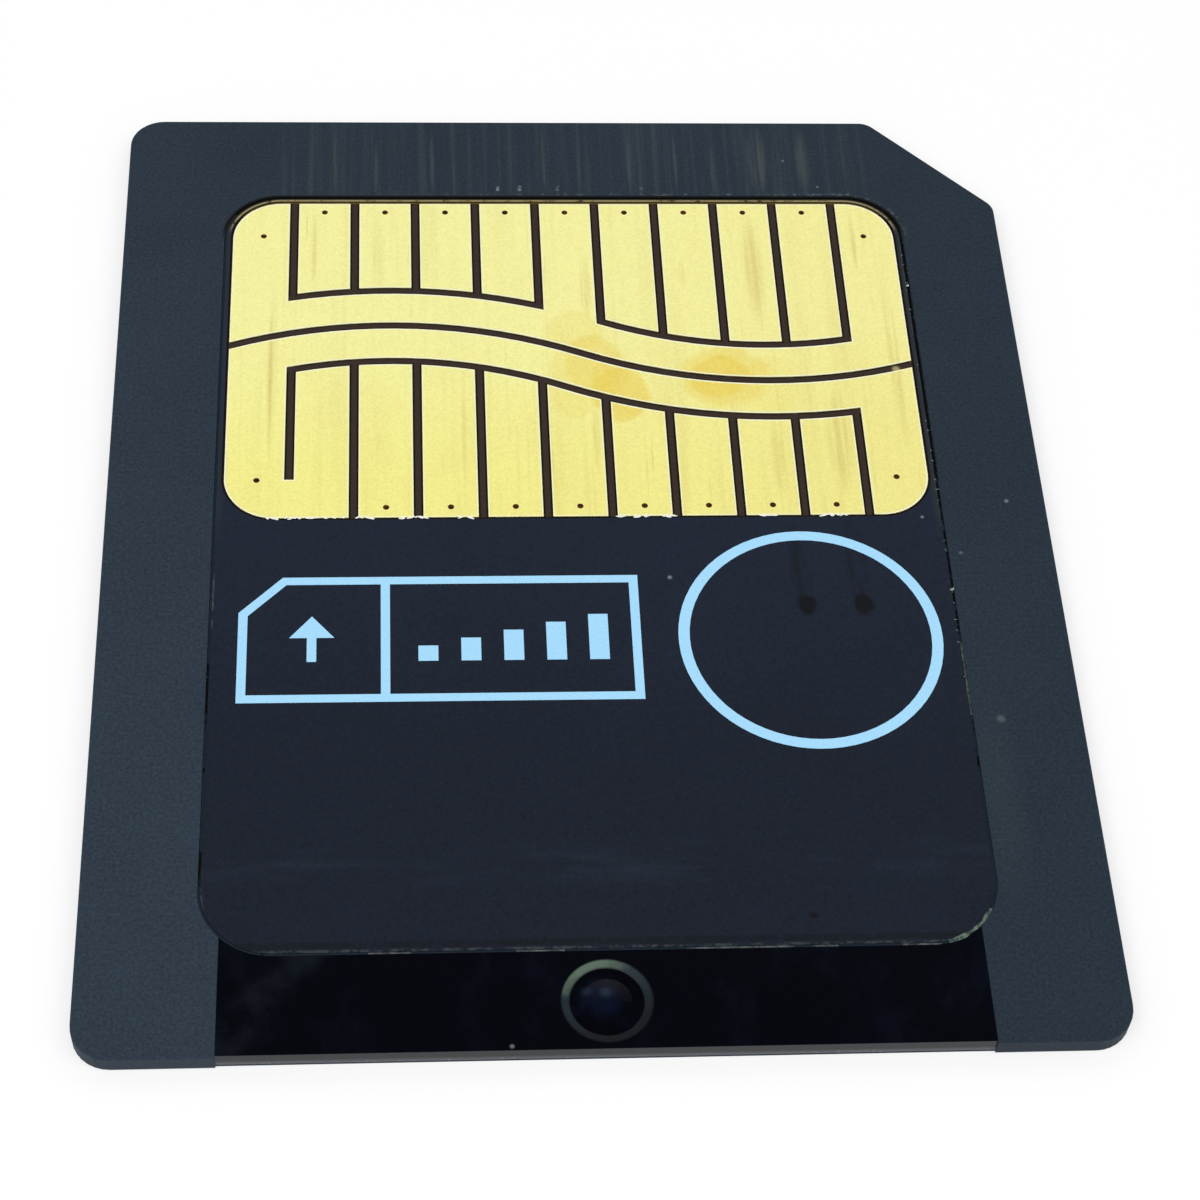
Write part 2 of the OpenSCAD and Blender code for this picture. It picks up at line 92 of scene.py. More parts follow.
# Light specks as x, y, radius and strength, and streaks as x, half width, ends and strength.
CARD_SPECKS = (
    (16.96, 1.36, 0.13, 0.8), (15.39, -9.01, 0.24, 0.3), (14.82, -1.2, 0.12, 0.4),
    (9.61, 20.17, 0.1, 0.5), (10.99, 18.6, 0.09, 0.6), (-3.36, -22.26, 0.12, 0.7),
    (-2.82, 18.42, 0.1, 1.0), (-2.8, 18.54, 0.1, 0.8), (-1.88, 18.42, 0.13, 0.7),
    (-1.86, 18.6, 0.12, 0.5), (-0.26, 18.42, 0.11, 0.4), (-0.25, 18.58, 0.1, 0.3),
    (3.36, 18.5, 0.12, 0.3),
)
RESIST_SPECKS = ((3.31, -2.26, 0.13, 0.8), (13.5, 0.6, 0.1, 0.8))
CARD_STREAKS = (
    (-9.7, 0.16, 17.6, 22.6, 0.8), (-8.0, 0.12, 17.6, 21.6, 0.7), (-5.6, 0.14, 17.6, 22.4, 0.7),
    (-4.7, 0.1, 17.6, 20.8, 0.7), (-0.8, 0.12, 17.6, 22.6, 0.8), (0.7, 0.1, 17.6, 21.9, 0.7),
    (2.9, 0.14, 17.6, 22.4, 0.8), (4.9, 0.12, 17.6, 22.6, 0.7), (6.5, 0.14, 17.6, 21.6, 0.6),
    (8.5, 0.62, 17.6, 22.8, 1.0), (10.45, 0.42, 17.6, 22.6, 0.9),
)
GOLD_STREAKS = (
    (-12.2, 0.26, 2.4, 13.4, 0.9), (-10.6, 0.2, 12.6, 17.8, 0.6), (0.7, 0.3, 10.6, 15.0, 0.7),
    (0.8, 0.22, 2.4, 7.0, 0.6), (4.8, 0.16, 12.4, 14.8, 0.8), (7.8, 0.62, 9.8, 17.8, 0.7),
    (8.0, 0.4, 1.0, 6.2, 0.4), (10.6, 0.7, 1.0, 8.0, 0.7), (12.2, 0.2, 13.4, 17.8, 0.8),
    (13.3, 0.3, 3.0, 15.5, 0.6), (-4.4, 0.3, 1.4, 7.4, 0.35), (-7.9, 0.4, 11.4, 17.6, 0.35),
)

# Tarnished ovals on the gold: middle, radii and strength.
GOLD_STAINS = (
    ((0.1, 10.4), (1.3, 1.3), 0.3), ((0.9, 8.6), (1.3, 1.7), 0.6), ((1.9, 7.0), (1.3, 1.6), 0.8),
    ((1.5, 7.9), (0.9, 1.0), 0.5), ((6.2, 7.95), (2.1, 1.75), 0.6), ((6.0, 7.9), (1.35, 1.25), 0.9),
    ((8.1, 7.6), (1.2, 1.6), 0.2), ((0.0, 7.6), (1.2, 2.1), 0.28),
)

# Open stretches of the seam on the right and left side, where the seam fill is painted dark as
# shadow: ends in Y, softness and how open.
RIGHT_GAPS = ((2.4, 30, 0.4, 0.85), (-5.3, 2.4, 0.4, 0.56), (-11.4, -8.9, 0.4, 0.4))
LEFT_GAPS = ((-8.9, -6.0, 0.3, 0.6), (-11.2, -10.6, 0.2, 0.5), (-15.8, -14.2, 0.3, 0.56))
# Stretches of the left side where the resist's outline carries its painted highlight: ends in Y,
# softness and strength.
LEFT_MARKS = ((-3.6, -2.0, 0.2, 1.0), (-4.5, -4.1, 0.1, 0.6), (-16.6, -15.8, 0.2, 0.5))

# Where painted glints stand on the gold's lower edge as small flakes, and glue on the module's, as
# pairs of X.
GLINT_ENDS = (
    (-12.2, -9.3), (-8.9, -8.2), (-7.0, -6.1), (-4.9, -4.3), (1.5, 3.6), (6.6, 7.7), (9.4, 10.5),
)
LOW_GLUE_ENDS = ((-8.3, -6.8), (-3.1, -1.4), (2.9, 6.7), (7.4, 8.3), (10.6, 12.0))

# The stage: half the floor and how far it lies under the card, in metres; the light from all
# round as height and colour; and each lamp's place and size.
FLOOR_HALF = 20.0
FLOOR_DROP = 0.00002
SURROUNDINGS = (
    (0.1, (0.4, 0.4, 0.4, 1)), (0.4, (1, 1, 1, 1)), (0.68, (1, 1, 1, 1)),
    (0.84, (0.03, 0.035, 0.05, 1)),
)
SIDE_LAMP = ((-0.28, -0.31, 0.46), (0.25, 0.25))
TOP_LAMP = ((0, -0.13, 0.6), (1.3, 0.28))


def rgb(red, green, blue):
    """Linear colour of a display colour given from 0 to 255."""
    return tuple(
        c / 12.92 if c <= 0.04045 else ((c + 0.055) / 1.055) ** 2.4
        for c in (red / 255, green / 255, blue / 255)
    )


def colour(name, text, red, green, blue):
    """A colour that a user can change."""
    return bpy.props.FloatVectorProperty(
        name=name, description=text, subtype="COLOR", size=3, min=0, max=1,
        default=rgb(red, green, blue),
    )


def length(name, text, default_mm):
    """A length that a user can change, in scene units."""
    return bpy.props.FloatProperty(
        name=name, description=text, default=default_mm * MM, unit="LENGTH", precision=5,
    )


def share(name, text, default):
    """A share from 0 to 1 that a user can change."""
    return bpy.props.FloatProperty(
        name=name, description=text, default=default, min=0, max=1, subtype="FACTOR",
    )


class CardColours(bpy.types.PropertyGroup):
    """Colours of the card's own materials."""

    moulding: colour("Moulding", "Matt moulded card", 31, 44, 56)
    polish: colour("Polished strip", "Polished strip behind the module", 2, 3, 8)
    wiped: colour("Wiped moulding", "Pale streaks that wiping left on the card", 92, 100, 92)
    resist: colour("Resist", "Solder resist on the module", 15, 24, 38)
    # Painted highlight: the colour painted where the resist's outline and the pocket's rim catch
    # the light.
    edge_highlight: colour("Worn lip", "Rubbed edge of the resist", 88, 98, 100)
    gold: colour("Gold", "Contact plating", 255, 251, 166)
    # Painted highlight: the thickened edge of the plating is painted brighter than the gold.
    gold_rim_glint: colour("Gold rim", "Thickened edge of the plating", 255, 254, 214)
    stain: colour("Stain", "Tarnished spots on the gold", 244, 218, 92)
    wiped_gold: colour("Wiped gold", "Tan streaks on the gold", 206, 182, 96)
    groove: colour("Groove", "Middle of the grooves", 60, 48, 42)
    # Painted shade: the dark colour at the foot of the groove walls.
    groove_foot_shade: colour("Groove side", "Foot of the groove walls", 14, 5, 1)
    window: colour("Window", "Bare board round the gold field", 92, 74, 26)
    plug: colour("Hole filling", "Resin in the plated holes", 92, 44, 8)
    ink: colour("Ink", "Printed marks", 166, 220, 252)
    # Painted glints: near-white colour of the flakes that stand in for glints on the gold field's
    # lower edge.
    glint: colour("Glint", "Bright metal at broken edges", 250, 250, 236)
    # Pale greenish colour of the glue bead at the seam's lower right corner, which also serves as
    # the painted highlight on the wall there.
    glue: colour("Glue", "Squeezed-out bonding film", 104, 122, 104)


class CardWear(bpy.types.PropertyGroup):
    """How much the card has been used."""

    streaks: share("Streaks", "Strength of the wiping streaks", 0.8)
    stains: share("Stains", "Strength of the tarnished spots", 0.9)
    grain: share("Grain", "Strength of the moulded grain", 0.5)
    rim_w: length("Rim width", "Width of the plating's thickened edge", 0.07)
    rim_h: length("Rim height", "Height of the plating's thickened edge", 0.006)
    # Size of the flakes that stand in for glints on the gold field's lower edge.
    glint: length("Burr size", "Size of the bright glints on the gold field's lower edge", 0.19)
    nick: length("Nick size", "Size of the nicks along the seam", 0.11)
    seed: bpy.props.IntProperty(name="Seed", description="Seed of the scattered wear", default=4)


class CardStage(bpy.types.PropertyGroup):
    """Camera, lamps and floor."""

    lens: bpy.props.FloatProperty(
        name="Lens", description="Focal length of the camera", default=85.2, unit="CAMERA",
    )
    camera_place: bpy.props.FloatVectorProperty(
        name="Camera place", description="Where the camera stands", subtype="TRANSLATION",
        default=(-0.006839, -0.06728, 0.088711),
    )
    camera_turn: bpy.props.FloatVectorProperty(
        name="Camera turn", description="How the camera is turned", subtype="EULER",
        default=(0.630134, -0.049757, -0.047027),
    )
    floor: colour("Floor", "Plain floor", 255, 255, 255)
    key: bpy.props.FloatProperty(
        name="Side lamp", description="Power of the lamp at the left", default=0.55, unit="POWER",
    )
    top: bpy.props.FloatProperty(
        name="Top lamp", description="Power of the wide lamp overhead", default=2.6, unit="POWER",
    )
    world: bpy.props.FloatProperty(
        name="Surroundings", description="Level of the light from all round", default=0.9, min=0,
    )


class Field:
    """A node's output socket that can stand in a Python expression."""

    def __init__(self, bench, socket):
        self.bench = bench
        self.socket = socket

    def math(self, operation, *values):
        return self.bench.node("ShaderNodeMath", {"operation": operation}, dict(enumerate(values)))

    def __add__(self, other):
        return self.math("ADD", self, other)

    def __sub__(self, other):
        return self.math("SUBTRACT", self, other)

    def __rsub__(self, other):
        return self.math("SUBTRACT", other, self)

    def __mul__(self, other):
        return self.math("MULTIPLY", self, other)

    def __truediv__(self, other):
        return self.math("DIVIDE", self, other)

    def __abs__(self):
        return self.math("ABSOLUTE", self)

    __radd__ = __add__
    __rmul__ = __mul__

    def root(self):
        return self.math("SQRT", self)

    def least(self, other):
        return self.math("MINIMUM", self, other)

    def most(self, other):
        return self.math("MAXIMUM", self, other)


class Bench:
    """The node tree of one finish, on which its fields are worked out."""

    def __init__(self, name):
        self.material = bpy.data.materials.new(name)
        self.material.use_nodes = True
        self.tree = self.material.node_tree
        self.tree.nodes.clear()
        self.spot = self.node("ShaderNodeTexCoord", out="Object")
        self.place = self.vector("SCALE", self.spot, scale=1 / MM)
        self.x, self.y, self.z = (
            self.node("ShaderNodeSeparateXYZ", {}, {0: self.place}, out=axis) for axis in "XYZ"
        )

    def node(self, kind, settings=None, sockets=None, out=0):
        """Adds a node: its settings come first, then the values or links of its sockets."""
        made = self.tree.nodes.new(kind)
        for key, value in (settings or {}).items():
            setattr(made, key, value)
        for key, value in (sockets or {}).items():
            if isinstance(value, Field):
                self.tree.links.new(value.socket, made.inputs[key])
            else:
                made.inputs[key].default_value = value
        return Field(self, made.outputs[out]) if made.outputs else made

    def vector(self, operation, *values, scale=None):
        sockets = dict(enumerate(values))
        if scale is not None:
            sockets["Scale"] = scale
        return self.node("ShaderNodeVectorMath", {"operation": operation}, sockets)

    def mix(self, factor, low, high):
        """From one colour to another."""
        sockets = {0: factor}
        for key, value in ((6, low), (7, high)):
            sockets[key] = value if isinstance(value, Field) else (*value, 1)
        settings = {"data_type": "RGBA", "clamp_factor": True}
        return self.node("ShaderNodeMix", settings, sockets, out=2)

    def shade(self, value, amount):
        """A colour times a number that varies."""
        grey = self.node("ShaderNodeCombineXYZ", {}, {0: amount, 1: amount, 2: amount})
        return self.vector("MULTIPLY", value if isinstance(value, Field) else tuple(value), grey)

    def rise(self, value, low, high):
        """A soft step: 0 at low and 1 at high."""
        sockets = {0: value, 1: low, 2: high}
        return self.node("ShaderNodeMapRange", {"interpolation_type": "SMOOTHSTEP"}, sockets)

    def band(self, value, low, high, soft):
        """1 between low and high, with soft ends."""
        return self.rise(value, low - soft, low + soft) * (
            1 - self.rise(value, high - soft, high + soft)
        )

    def noise(self, scale, detail=2.0, rough=0.5, stretch=(1, 1, 1), shift=0.0):
        """Noise whose scale is in spots a millimetre, squeezed by stretch."""
        spots = tuple(scale * s for s in stretch)
        at = self.vector("MULTIPLY_ADD", self.place, spots, (shift, shift, shift))
        sockets = {"Vector": at, "Scale": 1.0, "Detail": detail, "Roughness": rough}
        return self.node("ShaderNodeTexNoise", {}, sockets)

    def from_point(self, point):
        """Distance from a point of the card's plane."""
        x, y = self.x - point[0], self.y - point[1]
        return (x * x + y * y).root()

    def oval(self, middle, radii, soft=0.2, ragged=0.0, scale=2.0):
        """1 inside an oval patch, whose edge is soft and can wander."""
        x, y = (self.x - middle[0]) / radii[0], (self.y - middle[1]) / radii[1]
        away = (x * x + y * y).root()
        if ragged:
            away = away + (self.noise(scale, 3) - 0.5) * ragged
        return 1 - self.rise(away, 1 - soft, 1.0)

    def most_of(self, patches):
        """The strongest of several patches."""
        first, *others = patches
        for patch in others:
            first = first.most(patch)
        return first

    def specks(self, places):
        """Small soft dots, each at x, y with a radius and a strength."""
        return self.most_of(self.oval((x, y), (r, r), 0.8) * level for x, y, r, level in places)

    def stretches(self, places):
        """Soft stretches along Y, each with its ends, softness and strength."""
        return self.most_of(
            self.band(self.y, low, high, soft) * level for low, high, soft, level in places
        )

    def bump(self, height, strength, distance_mm):
        sockets = {"Strength": strength, "Distance": distance_mm * MM, "Height": height}
        return self.node("ShaderNodeBump", {}, sockets)

    def finish(self, **surface):
        """Ends the tree in one shader and gives the material."""
        sockets = {
            key.replace("_", " ").title().replace("Ior", "IOR"): (*value, 1)
            if isinstance(value, tuple) and len(value) == 3 else value
            for key, value in surface.items()
        }
        shader = self.node("ShaderNodeBsdfPrincipled", {}, sockets)
        self.node("ShaderNodeOutputMaterial", {}, {"Surface": shader})
        return self.material


def groove_distance(bench):
    """Distances from the middle of the nearest straight and the nearest curved groove."""
    rise = 2 * WAVE_R - WAVE_RISE
    run = math.sqrt((2 * WAVE_R) ** 2 - rise**2)
    reach = Vector((run, rise)) / 2
    left = bench.from_point(WAVE_TURN - reach) - WAVE_R
    right = WAVE_R - bench.from_point(WAVE_TURN + reach)
    side = (bench.x - WAVE_TURN.x) - (bench.y - WAVE_TURN.y) * (run / rise)
    is_right = side.math("GREATER_THAN", side, 0.0)
    wave = left + (right - left) * is_right
    curved = abs(wave).least(abs(abs(wave) - BAND_PITCH))
    column = bench.x / PITCH
    straight = abs(column.math("FRACT", column) - 0.5) * PITCH
    return straight, curved


def panel_inset(bench, low, high, low_r, high_r):
    """Distance inwards from the outline of a panel with rounded corners."""
    middle = (low + high) / 2
    half = (high - low) / 2
    is_high = bench.rise(bench.y, middle.y - 1, middle.y + 1)
    radius = low_r + (high_r - low_r) * is_high
    x = abs(bench.x - middle.x) - (half.x - radius)
    y = abs(bench.y - middle.y) - (half.y - radius)
    out_x, out_y = x.most(0.0), y.most(0.0)
    corner = (out_x * out_x + out_y * out_y).root()
    return radius - corner - x.most(y).least(0.0)


def streaks(bench, places):
    """Long soft streaks along the card, broken up by a fine grain."""
    grain = bench.rise(bench.noise(4.5, 3, 0.6, (1, 0.03, 0.03)), 0.25, 0.65)
    return grain * bench.most_of(
        bench.oval((x, (low + high) / 2), (half, (high - low) / 2), 0.75) * strength
        for x, half, low, high, strength in places
    )


def moulding_finish(colours, wear):
    """Matt moulded plastic with a fine grain, wiping streaks and one polished strip, with painted
    light: lighter towards the lower left, painted highlight and painted shadow along the pocket's
    edge, a painted reflection and lit wall at the gate mark, and a painted highlight on the strip's
    end face.
    """
    b = Bench("card_moulding")
    grain = b.noise(8, 4, 0.75)
    cloud = b.noise(0.16, 3, 0.6, shift=3.0)
    above = b.rise(b.z, 0.1, 0.12)
    in_width = b.band(b.x, -STRIP_HALF, STRIP_HALF, 0.02)
    at_end = 1 - b.rise(b.y, STRIP_END - 0.02, STRIP_END)
    strip = in_width * at_end * above

    # Painted light: the moulding is painted lighter towards the lower left.
    matt = b.mix(b.rise(b.x + b.y * 0.5, 4, -24) * 0.6, tuple(colours.moulding), rgb(44, 57, 70))
    matt = b.shade(matt, (grain * 2.2 + cloud * 0.4 - 0.3).most(0.1))
    wiped = b.band(b.x, -12.6, 13.0, 0.9) * b.rise(b.y, GOLD_HIGH.y - 0.4, GOLD_HIGH.y + 0.8)
    fine = b.rise(b.noise(3.1, 3, 0.6, (1, 0.02, 0.02)), 0.44, 0.74)
    streak = (fine * 0.18 + streaks(b, CARD_STREAKS) * 0.42) * wiped * above * wear.streaks
    matt = b.mix(streak, matt, tuple(colours.wiped))
    inset = panel_inset(b, MODULE_LOW, MODULE_HIGH, MODULE_LOW_R, MODULE_TOP_R)
    at_top = b.rise(b.y, GOLD_HIGH.y - 2.4, GOLD_HIGH.y - 1.2) * above
    # Painted highlight on the pocket's rounded rim along the top of the module, broken up by noise.
    rim = b.band(inset, -0.34, -0.2, 0.05) * b.rise(b.noise(3.2, 4, 0.75), 0.5, 0.62)
    matt = b.mix(rim * at_top * b.rise(b.x, -16, 14) * 0.7, matt, tuple(colours.edge_highlight))
    open_side = b.rise(b.x, 0, 10) * b.rise(b.y, 2.0, 3.0) * above
    # Painted shadow: black along the pocket's lip at the top and in patches along the right side.
    pocket_lip_shadow = (b.band(inset, -0.2, -0.02, 0.03) * at_top).most(
        b.band(inset, -0.15, -0.02, 0.03) * open_side * b.rise(b.noise(3.4, 2, 0.6), 0.34, 0.44)
    )
    matt = b.mix(pocket_lip_shadow, matt, rgb(1, 1, 2))
    beside = b.oval((14.9, -12.4), (1.3, 6.5), 0.9) * above
    matt = b.mix(beside * (0.02 + grain * 0.3), matt, rgb(56, 68, 70))

    smear = b.rise(b.noise(0.4, 4, 0.65, (1.3, 0.8, 1), 9.0), 0.5, 0.82)
    sweep = b.rise(b.noise(0.8, 3, 0.6, (1, 1, 1), 4.0), 0.3, 0.7)
    sweep = sweep * (1 - b.rise(abs(b.x + 12.0 - (b.y + 20.3) * 0.8), 0.4, 1.3))
    polished = b.mix(smear * 0.3, tuple(colours.polish), rgb(24, 30, 46))
    polished = b.mix(sweep * 0.5, polished, rgb(26, 32, 38))
    away = b.from_point((0, GATE_Y))
    inside = 1 - b.rise(away, *GATE_FLOOR)
    # Painted reflection: a bluish sheen on the gate's dome, with two painted highlights on it.
    dome_reflection = b.oval((-0.2, GATE_Y + 0.16), (1.05, 0.95), 0.7, 0.5, 2.0)
    polished = b.mix(dome_reflection * 0.8, polished, rgb(11, 17, 36))
    for x, y, radius, strength in ((-0.06, 0.34, 0.34, 0.6), (-0.68, 0.42, 0.28, 0.35)):
        shine = b.oval((x, GATE_Y + y), (radius, radius), 1.0, 0.7, 4.0)
        polished = b.mix(shine * strength, polished, rgb(40, 54, 68))
    # Painted light: the gate's sloped ring is painted bright towards its upper left and dark below,
    # with dark painted shade outside its lit band.
    ring = b.band(away, *GATE_SLOPE, 0.03)
    towards = (b.y - GATE_Y) * 0.56 - b.x * 0.28 + (b.noise(2.5, 3, 0.6) - 0.5) * 0.5
    wall_light = b.mix(b.rise(towards, -0.9, 0.3), rgb(0, 6, 13), rgb(18, 34, 44))
    wall_light = b.mix(b.rise(towards, 0.4, 0.95), wall_light, rgb(84, 104, 88))
    lit = b.band(away, *GATE_LIT, 0.04)
    polished = b.mix(ring, polished, b.mix(lit, rgb(1, 2, 5), wall_light))
    # Painted light: the strip's end face is painted light grey towards the bottom and dark towards
    # the top, in patches.
    end_face = 1 - b.rise(b.y, CARD_LOW.y + 0.085, CARD_LOW.y + 0.1)
    patchy_end_light = b.rise(b.noise(5.5, 3, 0.7), 0.56, 0.72)
    edge = b.mix(b.rise(b.z, 0.42, 0.05), rgb(30, 33, 42), rgb(124, 128, 136))
    polished = b.mix(end_face * (0.5 + patchy_end_light * 0.5), polished, edge)
    base = b.mix(strip, matt, polished)
    base = b.mix(b.specks(CARD_SPECKS) * above * 0.7, base, rgb(136, 150, 152))
    return b.finish(
        base_color=base,
        roughness=(0.6 + grain * 0.1) * (1 - strip) + strip * (0.08 + inside * 0.1 + ring * 0.4),
        normal=b.bump(b.noise(9, 4, 0.7) * (1 - strip) * wear.grain, 0.8, 0.02),
        specular_ior_level=0.2, coat_roughness=0.11,
        coat_weight=strip * (1 - smear * 0.35) * (1 - inside.most(ring)) * (1 - end_face),
    )


def resist_finish(colours):
    """Solder resist with painted highlights along its outline, painted shade at its lower edge and
    towards the bottom, an olive top band of bare board with a painted reflection, and two dark
    smudges below the contacts.
    """
    b = Bench("solder_resist")
    grain = b.noise(8, 4, 0.75, shift=1.5)
    cloud = b.noise(0.14, 3, 0.6, shift=6.0)
    # The grain and cloud are the resist's own; the rise along Y paints it darker towards the bottom
    # as painted shade.
    tone = grain * 2.2 + cloud * 0.4 + b.rise(b.y, -16, 2) * 0.45 - 0.35
    film = b.shade(colours.resist, tone.most(0.1))
    inset = panel_inset(b, MODULE_LOW, MODULE_HIGH, MODULE_LOW_R, MODULE_TOP_R)
    light_breakup = b.noise(2.2, 4, 0.75)
    beside_gold = b.rise(b.y, GOLD_LOW.y - 1.5, GOLD_LOW.y + 0.5)
    right = b.rise(b.x, 0, 10)
    # Painted highlight along the resist's outline edge, broken up by noise, in stretches on the
    # left and beside the contacts on the right.
    edge_highlight = (1 - b.rise(inset, 0.03, 0.1)) * b.rise(light_breakup, 0.38, 0.62)
    left_marks = b.stretches(LEFT_MARKS) * (1 - right) * 0.6
    edge_highlight = edge_highlight * left_marks.most(beside_gold * right * 0.4)
    film = b.mix(edge_highlight, film, tuple(colours.edge_highlight))
    # Painted highlight: a lighter band along both side edges of the module beside the contacts.
    side = beside_gold * b.rise(abs(b.x), 13.9, 14.1)
    film = b.mix(side * right * 0.6, film, rgb(38, 44, 46))
    film = b.mix(side * (1 - right) * 0.8, film, rgb(30, 40, 51))
    # Along the top the resist is painted olive, bare board with a painted reflection on its edge,
    # darkened towards both ends as painted shade, with a pale painted highlight along its middle.
    at_top = b.rise(b.y, GOLD_HIGH.y - 1.8, GOLD_HIGH.y - 0.9)
    away = panel_inset(b, GOLD_LOW, GOLD_HIGH, GOLD_R, GOLD_R)
    pale = b.band(away, -0.22, -0.14, 0.03) * b.rise(light_breakup, 0.34, 0.5)
    top_band_board_and_sheen = b.mix(b.rise(abs(b.x), 11.6, 12.4), rgb(58, 46, 20), rgb(16, 9, 4))
    film = b.mix(at_top, film, b.mix(pale, top_band_board_and_sheen, rgb(146, 136, 98)))
    # Painted shade: a dark band just above the module's lower edge.
    dark_edge = b.band(b.y, MODULE_LOW.y + 0.14, MODULE_LOW.y + 0.42, 0.06)
    film = b.mix(dark_edge * b.rise(light_breakup, 0.3, 0.5) * 0.6, film, rgb(6, 7, 14))
    # Painted highlight: a broken light line along the module's lower edge.
    low_edge_highlight = (1 - b.rise(b.y, MODULE_LOW.y + 0.08, MODULE_LOW.y + 0.13)) * b.rise(light_breakup, 0.46, 0.6)
    film = b.mix(low_edge_highlight * 0.5, film, rgb(70, 76, 78))

    wipe = b.rise(b.noise(2.0, 3, 0.6, (1, 0.1, 1)), 0.36, 0.7)
    for x, strength in ((8.55, 1.0), (10.75, 0.95)):
        trail = b.oval((x - 0.1, -1.7), (0.6, 3.1), 0.7) * wipe * 0.7
        blot = b.oval((x, -3.62), (0.5, 0.66), 0.5, 0.6, 2.5)
        film = b.mix(trail.most(blot) * strength, film, rgb(1, 4, 12))
    haze = b.band(b.y, -15.7, -14.3, 0.5) * b.rise(b.noise(0.5, 4, 0.6, (0.5, 2.5, 1)), 0.42, 0.8)
    film = b.mix(haze * 0.35, film, rgb(46, 56, 70))
    film = b.mix(b.specks(RESIST_SPECKS) * 0.8, film, rgb(136, 150, 156))
    film = b.mix(b.oval((7.55, -17.3), (0.3, 0.2), 0.8), film, rgb(2, 4, 9))
    return b.finish(
        base_color=film, roughness=0.5 + grain * 0.14,
        normal=b.bump(b.noise(9, 4, 0.7), 0.5, 0.014), specular_ior_level=0.18,
    )


def board_finish(colours):
    """Glass-epoxy board: grey-brown grooves whose dark feet are painted shade, and a window round
    the gold field painted dark as shade, olive along its top as bare board with a painted
    reflection.
    """
    b = Bench("glass_epoxy_board")
    straight, curved = groove_distance(b)
    # Painted shade: the foot of each groove wall is painted dark, and the middle of the groove
    # keeps the board's grey-brown.
    middle = 1 - b.rise(straight.least(curved), 0.08, 0.15)
    weave = b.noise(7, 2, 0.6)
    bed = b.mix(middle * (0.5 + weave * 0.7), tuple(colours.groove_foot_shade), tuple(colours.groove))
    inset = panel_inset(b, GOLD_LOW, GOLD_HIGH, GOLD_R, GOLD_R)
    # The window round the gold field is painted dark as shade, and olive along its top, where bare
    # board and a painted reflection on its far wall show.
    olive = b.rise(b.y, GOLD_HIGH.y - 1.0, GOLD_HIGH.y - 0.1)
    window_shade_and_sheen = b.mix(olive, rgb(22, 9, 3), b.shade(colours.window, 0.5 + weave * 0.9))
    bed = b.mix(b.band(inset, -0.3, -0.02, 0.02), bed, window_shade_and_sheen)
    edge = 1 - b.rise(inset, -0.36, -0.3)
    bed = b.mix(edge, bed, rgb(18, 20, 20))
    bed = b.mix(b.specks([(13.3, 8.3, 0.24, 0.6)]), bed, rgb(206, 190, 132))
    return b.finish(base_color=bed, roughness=0.5 + weave * 0.2, specular_ior_level=0.1)


def gold_finish(colours, wear):
    """Satin gold plating with wiping streaks, tarnished ovals and the board's weave under it,
    painted darker and yellower towards the bottom and the right as painted shade.
    """
    b = Bench("gold_plating")
    fine = b.noise(3.6, 3, 0.6, (1, 0.025, 1))
    broad = b.noise(0.9, 2, 0.5, (1, 0.06, 1), 2.0)
    mottle = b.noise(0.5, 3, 0.6)
    grain = b.noise(9, 3, 0.65)
    upper = b.rise(b.y, 3, 13)
    # Painted shade: the plate is darker and yellower towards the bottom and, in its lower part,
    # towards the right.
    plate = b.mix(b.rise(b.y, 11, 2), tuple(colours.gold), rgb(254, 248, 146))
    plate = b.mix(b.rise(b.x, -4, 14) * (0.7 - upper * 0.4), plate, rgb(249, 238, 146))
    plate = b.mix(b.rise(mottle, 0.4, 0.75) * (0.3 - upper * 0.2), plate, rgb(250, 234, 142))
    wiping = b.rise(fine, 0.5, 0.78) * 0.22 + b.rise(broad, 0.5, 0.8) * 0.26
    wiping = wiping * (1 - upper * 0.4) + streaks(b, GOLD_STREAKS) * 0.8
    plate = b.mix(wiping * wear.streaks, plate, tuple(colours.wiped_gold))
    scratch = b.rise(b.noise(5, 2, 0.5, (1, 0.04, 1), 7.0), 0.68, 0.8)
    plate = b.mix(scratch * wear.streaks * 0.3, plate, rgb(160, 140, 74))
    for middle, radii, strength in GOLD_STAINS:
        spot = b.oval(middle, radii, 0.22, 0.5, 0.9) * (0.6 + mottle * 0.6)
        plate = b.mix(spot * strength * wear.stains, plate, tuple(colours.stain))
    plate = b.shade(plate, 0.84 + grain * 0.32)
    across = b.node("ShaderNodeMath", {"operation": "SINE"}, {0: b.x * 34.0})
    along = b.node("ShaderNodeMath", {"operation": "SINE"}, {0: b.y * 34.0})
    weave = across * along * 0.35 + grain
    return b.finish(
        base_color=plate, metallic=0.22, roughness=0.44 + grain * 0.1 + wiping * 0.1,
        normal=b.bump(weave, 0.5, 0.006), specular_ior_level=0.5,
    )


def rim_finish(colours):
    """The plating's thickened edge, painted brighter than the rest as a painted highlight."""
    b = Bench("gold_rim_glint")
    patchy_glint = b.noise(3, 3, 0.6)
    return b.finish(
        base_color=b.shade(colours.gold_rim_glint, 0.93 + patchy_glint * 0.12), metallic=0.1,
        roughness=0.35 + patchy_glint * 0.1,
    )


def ink_finish(colours):
    """Screen-printed ink with a slightly grainy edge."""
    b = Bench("printing_ink")
    grain = b.noise(8, 3, 0.6)
    film = b.mix(b.rise(grain, 0.5, 0.8) * 0.3, tuple(colours.ink), rgb(118, 172, 222))
    return b.finish(base_color=film, roughness=0.45 + grain * 0.1, specular_ior_level=0.3)


